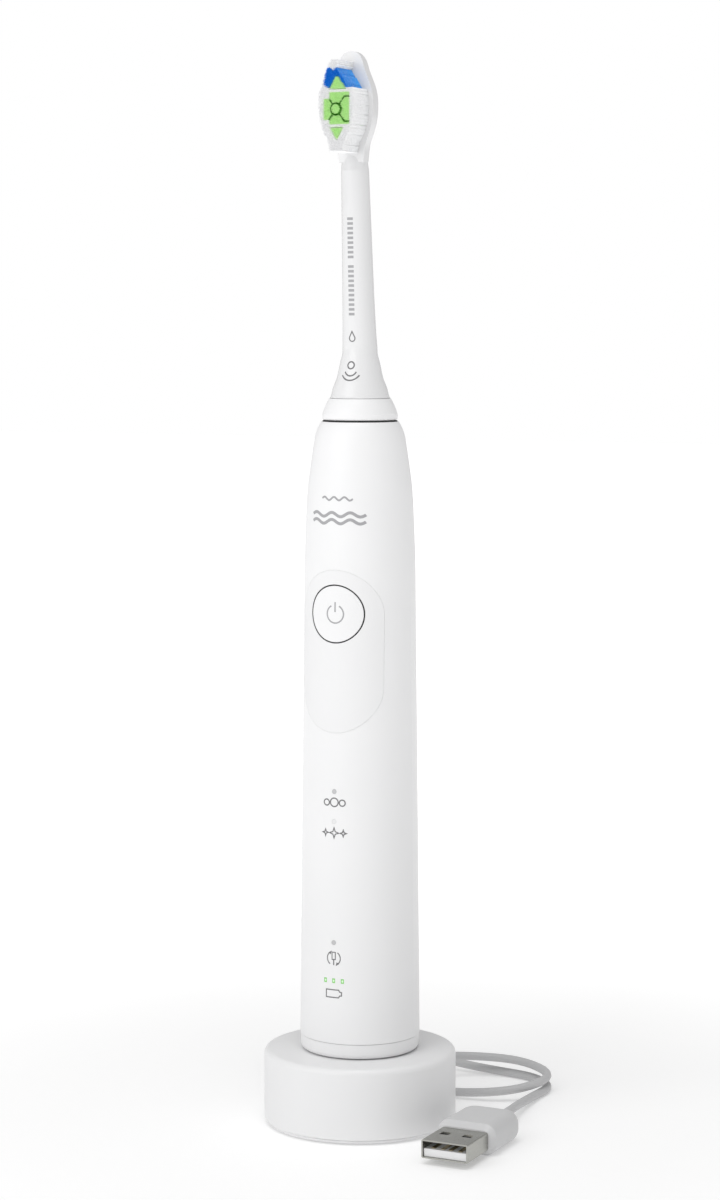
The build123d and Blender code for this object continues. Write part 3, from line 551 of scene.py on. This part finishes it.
# %% [markdown]
# ## The plug's grip
# The moulded grip is a flattened tube: a flat top, rounded shoulders, a narrower rounded back
# end, and a bevel round the metal shell.  It is lofted from rounded rectangles along the
# plug's axis, each with its own width, height and corner, which gives the soft shoulders that
# a bevelled box can't.

# %% Plug grip
grip_low, grip_high = (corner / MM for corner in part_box("usb_plug_body"))
GRIP_X, GRIP_Z = (grip_low.x + grip_high.x) / 2, (grip_low.z + grip_high.z) / 2
GRIP_W, GRIP_H = grip_high.x - grip_low.x, grip_high.z - grip_low.z
CORNER_STEPS = 6


def rounded_ring(y, width, height, corner):
    """Points of a rounded rectangle across the plug's axis, anticlockwise from the right."""
    corner = min(corner, width / 2 - 0.01, height / 2 - 0.01)
    for quarter in range(4):
        across = (1, -1, -1, 1)[quarter] * (width / 2 - corner)
        up = (1, 1, -1, -1)[quarter] * (height / 2 - corner)
        for i in range(CORNER_STEPS + 1):
            angle = pi / 2 * (quarter + i / CORNER_STEPS)
            yield (GRIP_X + across + corner * cos(angle), y, GRIP_Z + up + corner * sin(angle))


def loft(sections):
    points, faces = [], []
    for section in sections:
        points += section
    count = len(sections[0])
    for k in range(len(sections) - 1):
        bridge(faces, k * count, (k + 1) * count, count)
    faces.append(tuple(range(count)))
    last = (len(sections) - 1) * count
    faces.append(tuple(last + i for i in reversed(range(count))))
    return points, faces


def crisp(made, angle):
    """Keeps edges sharper than angle degrees, and flat faces flat beside rounded ones."""
    made.data.set_sharp_from_angle(angle=radians(angle))
    weighted = made.modifiers.new("flat_faces", "WEIGHTED_NORMAL")
    weighted.keep_sharp = True


BEVEL = 1.6
sections = []
# from the back end to the mouth: distance from the back, share of width, share of height, corner
for back, wide, high, corner in (
        (0.0, 0.50, 0.50, 1.8), (0.25, 0.62, 0.62, 2.2), (0.8, 0.76, 0.76, 2.6), (1.7, 0.88, 0.89, 2.9),
        (2.9, 0.96, 0.96, 3.1), (4.4, 1.0, 1.0, 3.2), (9.0, 1.0, 1.0, 3.2), (16.4, 1.0, 1.0, 3.0)):
    sections.append(list(rounded_ring(grip_high.y - back, GRIP_W * wide, GRIP_H * high, corner)))
for forward, inward in ((BEVEL, 0.0), (BEVEL - 0.15, 0.04), (0.15, 1.12), (0.0, 1.3)):
    sections.append(list(rounded_ring(
        grip_low.y + forward, GRIP_W - 2 * inward, GRIP_H - 2 * inward, 3.0 - inward)))
sections.append(list(rounded_ring(grip_low.y, 12.0, 4.5, 0.4)))
points, faces = loft(sections)
grip = piece("plug_grip", points, faces, FINISHES["plug_plastic"], "charger")
crisp(grip, 24)
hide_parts("usb_plug_body")

# %% [markdown]
# ## The bristles
# A brush head carries bundles of nylon filaments, each thinner than a quarter of a
# millimetre.  Hair particles could make them, but particles are slow to control and don't
# export, so each filament is a slim five-sided tube.  They stand on a fine honeycomb of
# places, lean together towards the middle of their bundle at the root, and take the colour
# of the pattern at the tip: a blue chevron above a green field with a round tuft.

# %% Pattern of the bristles
FILAMENT_R = 0.105
PITCH = 0.25
BUNDLE_PITCH = (1.62, 2.40)
GROOVE = 0.06               # half width of the lines between the bundles

BLUE = [(-3.3, 256.1), (-2.9, 260.1), (-1.6, 259.9), (-0.8, 259.0), (0.1, 260.1), (3.25, 255.4),
        (2.6, 255.2), (0.15, 258.4), (-2.1, 255.2)]
GREEN_TOP = [(0.15, 258.1), (2.5, 255.0), (-1.9, 255.0)]
GREEN_FIELD = [(-1.8, 254.1), (3.3, 254.1), (3.3, 246.6), (-1.8, 246.6), (-1.8, 247.7), (-3.3, 247.7),
               (-3.3, 252.6), (-1.8, 252.6)]
GREEN_FOOT = [(-1.7, 245.8), (1.7, 245.8), (0.1, 242.9)]
TOP_CORNER = [(0.7, 265.0), (5.5, 265.0), (5.5, 260.3), (0.7, 260.3)]
OPEN_SIDE = [(0.35, 260.3), (5.5, 260.3), (5.5, 255.3), (3.4, 255.3)]
LINES = [((0, HEAD_MID_Z), (-1.9, 252.7)), ((0, HEAD_MID_Z), (2.2, 253.1)), ((2.2, 253.1), (3.4, 253.1)),
         ((0, HEAD_MID_Z), (-1.9, 247.5)), ((0, HEAD_MID_Z), (2.2, 247.2)), ((2.2, 247.2), (3.4, 247.2))]


def inside(x, z, outline):
    found = False
    for (x0, z0), (x1, z1) in zip(outline, outline[1:] + outline[:1]):
        if (z0 > z) != (z1 > z) and x < x0 + (z - z0) * (x1 - x0) / (z1 - z0):
            found = not found
    return found


def distance(x, z, start, end):
    along = Vector(end) - Vector(start)
    share = min(max((Vector((x, z)) - Vector(start)).dot(along) / along.length_squared, 0), 1)
    return (Vector((x, z)) - Vector(start) - along * share).length


def colour_at(x, z):
    """Which bristle colour stands at (x, z), or None for an open place."""
    if inside(x, z, BLUE):
        return "blue"
    if inside(x, z, GREEN_TOP) or inside(x, z, GREEN_FOOT):
        return "green"
    if inside(x, z, GREEN_FIELD):
        from_middle = hypot(x, z - HEAD_MID_Z)
        if from_middle < ROUND_R:
            return "green"
        in_line = any(distance(x, z, *ends) < GROOVE for ends in LINES)
        return None if in_line or from_middle < ROUND_R + 2 * GROOVE else "green"
    edge = 0.12
    near = [(x + dx, z + dz) for dx in (-edge, edge) for dz in (-edge, edge)]
    coloured = (BLUE, GREEN_TOP, GREEN_FIELD, GREEN_FOOT, OPEN_SIDE, TOP_CORNER)
    if any(inside(*spot, outline) for spot in near for outline in coloured):
        return None
    return "white"


print("a place in the round tuft is", colour_at(0, HEAD_MID_Z))

# %% Filaments
COLOURS = ("white", "blue", "green")
field = [surface_of(f"bristles_{colour}") for colour in COLOURS]
boxes = [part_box(f"bristles_{colour}") for colour in COLOURS]
field_low = Vector([min(low[i] for low, high in boxes) for i in range(3)]) / MM
field_high = Vector([max(high[i] for low, high in boxes) for i in range(3)]) / MM
SIDES = 5
PINCH = 0.05                # how far a root leans towards the middle of its bundle
ROUND_TUFT_EXTRA = 0.35     # the round tuft stands this much prouder
draw = random.Random(7)


def covered(x, z):
    """Whether the bristle field of the model reaches (x, z)."""
    reach = FILAMENT_R + 0.005
    spots = ((x, z), (x, z + reach), (x, z - reach), (x + reach, z), (x - reach, z))
    return any(front(*spot) for front in field for spot in spots)


def filament(points, faces, root, tip):
    first = len(points)
    near_tip = root.lerp(tip, 0.985)
    rows = ((root, FILAMENT_R), (root.lerp(tip, 0.5), FILAMENT_R), (near_tip, FILAMENT_R * 0.92),
            (tip, FILAMENT_R * 0.45))
    for centre, radius in rows:
        for i in range(SIDES):
            angle = 2 * pi * i / SIDES
            points.append((centre.x + radius * cos(angle), centre.y, centre.z + radius * sin(angle)))
    for k in range(len(rows) - 1):
        bridge(faces, first + k * SIDES, first + (k + 1) * SIDES, SIDES)
    faces.append(tuple(first + i for i in range(SIDES)))
    faces.append(tuple(first + (len(rows) - 1) * SIDES + i for i in reversed(range(SIDES))))


tufts = {colour: ([], []) for colour in COLOURS}
counts = dict.fromkeys(tufts, 0)
row_step = PITCH * sqrt(3) / 2
for row in range(int((field_high.z - field_low.z) / row_step)):
    z = field_low.z + (row + 0.5) * row_step
    for column in range(int((field_high.x - field_low.x) / PITCH) + 1):
        x = field_low.x + (column + 0.5 * (row % 2)) * PITCH
        colour = colour_at(x, z)
        if colour is None or not covered(x, z):
            continue
        x_tip, z_tip = x + draw.uniform(-0.03, 0.03), z + draw.uniform(-0.03, 0.03)
        home_x = round(x / BUNDLE_PITCH[0]) * BUNDLE_PITCH[0]
        home_z = HEAD_MID_Z + round((z - HEAD_MID_Z) / BUNDLE_PITCH[1]) * BUNDLE_PITCH[1]
        root = Vector((x + (home_x - x) * PINCH, field_high.y + 0.3, z + (home_z - z) * PINCH))
        in_round = colour == "green" and hypot(x, z - HEAD_MID_Z) < ROUND_R
        longer = ROUND_TUFT_EXTRA if in_round else 0.0
        tip = Vector((x_tip, field_low.y - longer + draw.uniform(0.0, 0.12), z_tip))
        filament(*tufts[colour], root, tip)
        counts[colour] += 1
for colour, (points, faces) in tufts.items():
    made = piece(f"filaments_{colour}", points, faces, FINISHES[f"bristle_{colour}"], "brush_head")
    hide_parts(f"bristles_{colour}")
print("filaments:", counts)

# %% [markdown]
# ## Printed symbols
# The symbols are pad printing: a film of ink a few hundredths of a millimetre thick.  An image
# would need a texture file, so each stroke is a thin closed ribbon of mesh that follows the
# surface.  A drawing is a list of strokes in millimetres from the symbol's middle.  Where
# the shop article would carry a name, a plain wave ornament takes its place.

# %% Strokes on a surface
INK_LIFT, INK_SINK = 0.03, 0.06
LONGEST_STEP = 0.5


def arc(x, z, radius, start, end, steps=28):
    """Points of a circular arc, angles in degrees anticlockwise from the right."""
    for i in range(steps + 1):
        angle = radians(start + (end - start) * i / steps)
        yield (x + radius * cos(angle), z + radius * sin(angle))


def on_surface(front, x, z, lift):
    point, normal = front(x, z)
    return point + normal * lift


def with_short_steps(path):
    """The same path with extra points, so that long straight runs follow a curved surface."""
    path = [Vector(p) for p in path]
    finer = [path[0]]
    for start, end in zip(path, path[1:]):
        steps = max(1, ceil((end - start).length / LONGEST_STEP))
        finer += [start.lerp(end, (i + 1) / steps) for i in range(steps)]
    return finer


def stroke(points, faces, front, path, width, x0, z0):
    """One ribbon of ink along path, with closed ends and mitred corners."""
    path = with_short_steps(path)
    closed = (path[0] - path[-1]).length < 1e-6
    first = len(points)
    for i, here in enumerate(path):
        arrive = here - path[i - 1] if i else (here - path[-2] if closed else path[1] - here)
        leave = path[i + 1] - here if i + 1 < len(path) else (path[1] - here if closed else arrive)
        ahead = (arrive.normalized() + leave.normalized()).normalized()
        mitre = max(ahead.dot(leave.normalized()), 0.4)
        side = Vector((-ahead.y, ahead.x)) * width / 2 / mitre
        for way, lift in ((1, INK_LIFT), (-1, INK_LIFT), (-1, -INK_SINK), (1, -INK_SINK)):
            spot = here + side * way
            points.append(on_surface(front, x0 + spot.x, z0 + spot.y, lift))
    for i in range(len(path) - 1):
        bridge(faces, first + 4 * i, first + 4 * (i + 1), 4)
    last = first + 4 * (len(path) - 1)
    faces.append((first, first + 1, first + 2, first + 3))
    faces.append((last + 3, last + 2, last + 1, last))


def patch(points, faces, front, outline, x0, z0):
    """A filled shape of ink with a convex outline."""
    first, count = len(points), len(outline)
    for lift in (INK_LIFT, -INK_SINK):
        for x, z in outline:
            points.append(on_surface(front, x0 + x, z0 + z, lift))
    bridge(faces, first, first + count, count)
    faces.append(tuple(first + i for i in range(count)))
    faces.append(tuple(first + count + i for i in reversed(range(count))))


def symbol(name, node, body, x0, z0, strokes=(), patches=(), colour=INK_DARK):
    """Prints strokes, each (path, width), and filled patches round (x0, z0) of a node."""
    front = surface_of(node)
    points, faces = [], []
    for path, width in strokes:
        stroke(points, faces, front, list(path), width, x0, z0)
    for outline in patches:
        patch(points, faces, front, list(outline), x0, z0)
    made = piece(name, points, faces, colour, body, smooth=False)
    print(f"{name}: {len(faces)} faces")
    return made


print("strokes can be printed")

# %% Symbols on the handle
def star(x, z, radius, waist=0.34):
    """A four-pointed sparkle as one closed path."""
    for i in range(9):
        reach = radius if i % 2 == 0 else radius * waist
        angle = pi / 4 * i + pi / 2
        yield (x + reach * cos(angle), z + reach * sin(angle))


def wave(x0, x1, z, height, crests, steps=60):
    for i in range(steps + 1):
        share = i / steps
        yield (x0 + (x1 - x0) * share, z + height / 2 * sin(2 * pi * crests * share))


BUTTON_Z = (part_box("power_button")[0].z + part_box("power_button")[1].z) / 2 / MM
symbol("print_power", "power_button", "power_button_body", 0, BUTTON_Z,
       [(arc(0, 0, 2.2, 118, 422), 0.34), ([(0, 0.5), (0, 2.9)], 0.34)], colour=INK_LIGHT)

MODE_1_Z, MODE_2_Z = 82.75, 75.2
bubble_places = ((-2.1, -0.1, 0.75), (0, 0, 1.05), (2.1, -0.1, 0.75))
bubbles = [(arc(x, z, r, 0, 360), 0.30) for x, z, r in bubble_places]
symbol("print_mode_1", "handle_housing", "handle", 0, MODE_1_Z, bubbles)
sparkles = [(star(x, z, r), 0.26) for x, z, r in ((-2.4, 0, 0.85), (0, 0, 1.3), (2.4, 0, 0.85))]
symbol("print_mode_2", "handle_housing", "handle", 0, MODE_2_Z, sparkles)



def arrowhead(end, way):
    """A filled triangle at the end of a turning arrow, pointing up (1) or down (-1)."""
    return [(end[0] + way * x, end[1] + way * z) for x, z in ((0.2, -0.5), (0.45, 0.45), (-0.45, -0.1))]


REMINDER_Z = 44.1
left_turn = list(arc(0, 0, 1.75, 125, 235))
right_turn = list(arc(0, 0, 1.75, -55, 55))
head = [(-0.45, -0.3), (-0.45, 1.5), (0.45, 1.5), (0.45, -0.3), (-0.45, -0.3)]
symbol("print_new_brush", "handle_housing", "handle", 0, REMINDER_Z,
       [(left_turn, 0.26), (right_turn, 0.26), (head, 0.24), ([(0, -0.3), (0, -1.7)], 0.3)],
       [arrowhead(left_turn[0], 1), arrowhead(right_turn[0], -1)])

BATTERY_Z = 35.3
case = [(-2.05, -0.95), (1.35, -0.95), (1.6, -0.5), (2.1, -0.42), (2.1, 0.42), (1.6, 0.5), (1.35, 0.95),
        (-2.05, 0.95), (-2.05, -0.95)]
symbol("print_battery", "handle_housing", "handle", 0, BATTERY_Z, [(case, 0.27)])

WAVE_Z = 152.2
symbol("print_waves", "handle_housing", "handle", 0, WAVE_Z,
       [(wave(-7.1, 7.1, 0.85, 1.0, 3), 0.72), (wave(-7.1, 7.1, -0.85, 1.0, 3), 0.72),
        (wave(-4.1, 4.1, 4.7, 0.8, 3), 0.45)], colour=INK_LIGHT)

# %% Symbols on the neck
DROP_Z, SIGNAL_Z = 195.9, 189.0
drop = list(arc(0, -0.35, 0.75, 150, 390, 20)) + [(0, 1.3)]
symbol("print_drop", "brush_neck", "brush_head", 0, DROP_Z, [(drop + drop[:1], 0.26)], colour=INK_DARK)
symbol("print_signal", "brush_neck", "brush_head", 0, SIGNAL_Z,
       [(arc(0, 0, 0.85, 0, 360), 0.34), (arc(0, -0.97, 1.6, -158, -22), 0.34),
        (arc(0, -0.97, 2.7, -148, -32), 0.34)],
       colour=INK_DARK)
RULE_STEP, RULE_HALF_W = 1.15, 0.75
ladder_heights = [-12.0 + RULE_STEP * i for i in range(21) if i != 11]
ladder = [([(-RULE_HALF_W, z), (RULE_HALF_W, z)], 0.62) for z in ladder_heights]
symbol("print_neck_rule", "brush_neck", "brush_head", 0, 213.4, ladder, colour=INK_LIGHT)

# %% [markdown]
# ## Floor and light
# White on white only works if the floor is a little brighter than the object and the light
# comes from one side.  The floor glows slightly, so it burns out to clean white and still
# takes soft shadows.  One wide lamp stands high on the left, and the sky fills the rest.

# %% Floor
GLOW_NEAR, GLOW_FAR, GLOW_FROM, GLOW_TO = 0.26, 0.80, 60.0, 450.0
floor_finish = Finish("floor", (0.80, 0.80, 0.80), 0.9, Emission_Strength=1.0)
away = floor_finish.node("VectorMath", {"operation": "LENGTH"}, {0: floor_finish.place}, output=1)
glow = floor_finish.node("MapRange", {"interpolation_type": "SMOOTHSTEP"}, {
    "Value": away, "From Min": GLOW_FROM * MM, "From Max": GLOW_TO * MM, "To Min": 0.0, "To Max": 1.0})
near, far = ((g, g, g, 1.0) for g in (GLOW_NEAR, GLOW_FAR))
floor_finish.put("Emission Color", floor_finish.blend(glow, near, far))
floor_finish.relief(floor_finish.cloud(2.0), 0.002)
FLOOR_HALF = 4000
floor_mesh = bpy.data.meshes.new("floor")
reach = FLOOR_HALF * MM
corners = [(-reach, -reach, 0), (reach, -reach, 0), (reach, reach, 0), (-reach, reach, 0)]
floor_mesh.from_pydata(corners, [], [(0, 1, 2, 3)])
floor_mesh.materials.append(floor_finish.material)
floor = bpy.data.objects.new("floor", floor_mesh)
scene.collection.objects.link(floor)
floor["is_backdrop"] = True
print("floor", 2 * FLOOR_HALF / 1000, "m wide")

# %% Lights and sky
SKY_LIGHT, SKY_SEEN = 0.50, 1.0


def lamp(name, turn, away, height, size, power):
    """A square lamp at an angle round the object, aimed at the middle of the handle."""
    light = bpy.data.lights.new(name, "AREA")
    light.shape, light.size, light.energy = "SQUARE", size * MM, power
    made = bpy.data.objects.new(name, light)
    scene.collection.objects.link(made)
    angle = radians(turn)
    made.location = Vector((away * sin(angle), -away * cos(angle), height)) * MM
    aim = Vector((0, 0, 120)) * MM - made.location
    made.rotation_mode = "QUATERNION"
    made.rotation_quaternion = aim.to_track_quat("-Z", "Y")
    return made


lamp("key_lamp", CAMERA_TURN - 48, 1200, 700, 1000, 4.9)
lamp("top_lamp", CAMERA_TURN - 10, 500, 1700, 900, 9.0)

world = bpy.data.worlds.new("studio")
scene.world = world
world.use_nodes = True
sky = world.node_tree.nodes["Background"]
rays = world.node_tree.nodes.new("ShaderNodeLightPath")
choice = world.node_tree.nodes.new("ShaderNodeMapRange")
choice.inputs["To Min"].default_value = SKY_LIGHT
choice.inputs["To Max"].default_value = SKY_SEEN
world.node_tree.links.new(rays.outputs["Is Camera Ray"], choice.inputs["Value"])
world.node_tree.links.new(choice.outputs[0], sky.inputs["Strength"])
sky.inputs["Color"].default_value = (1.0, 1.0, 1.0, 1.0)
scene.view_settings.view_transform = "Standard"
print("two lamps and a sky")

# %% Sizes and finish
low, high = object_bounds()
{"cad": [list(cad_low), list(cad_high)], "visual": [list(low), list(high)]}
print("visual size", [round(x / MM, 1) for x in high - low])
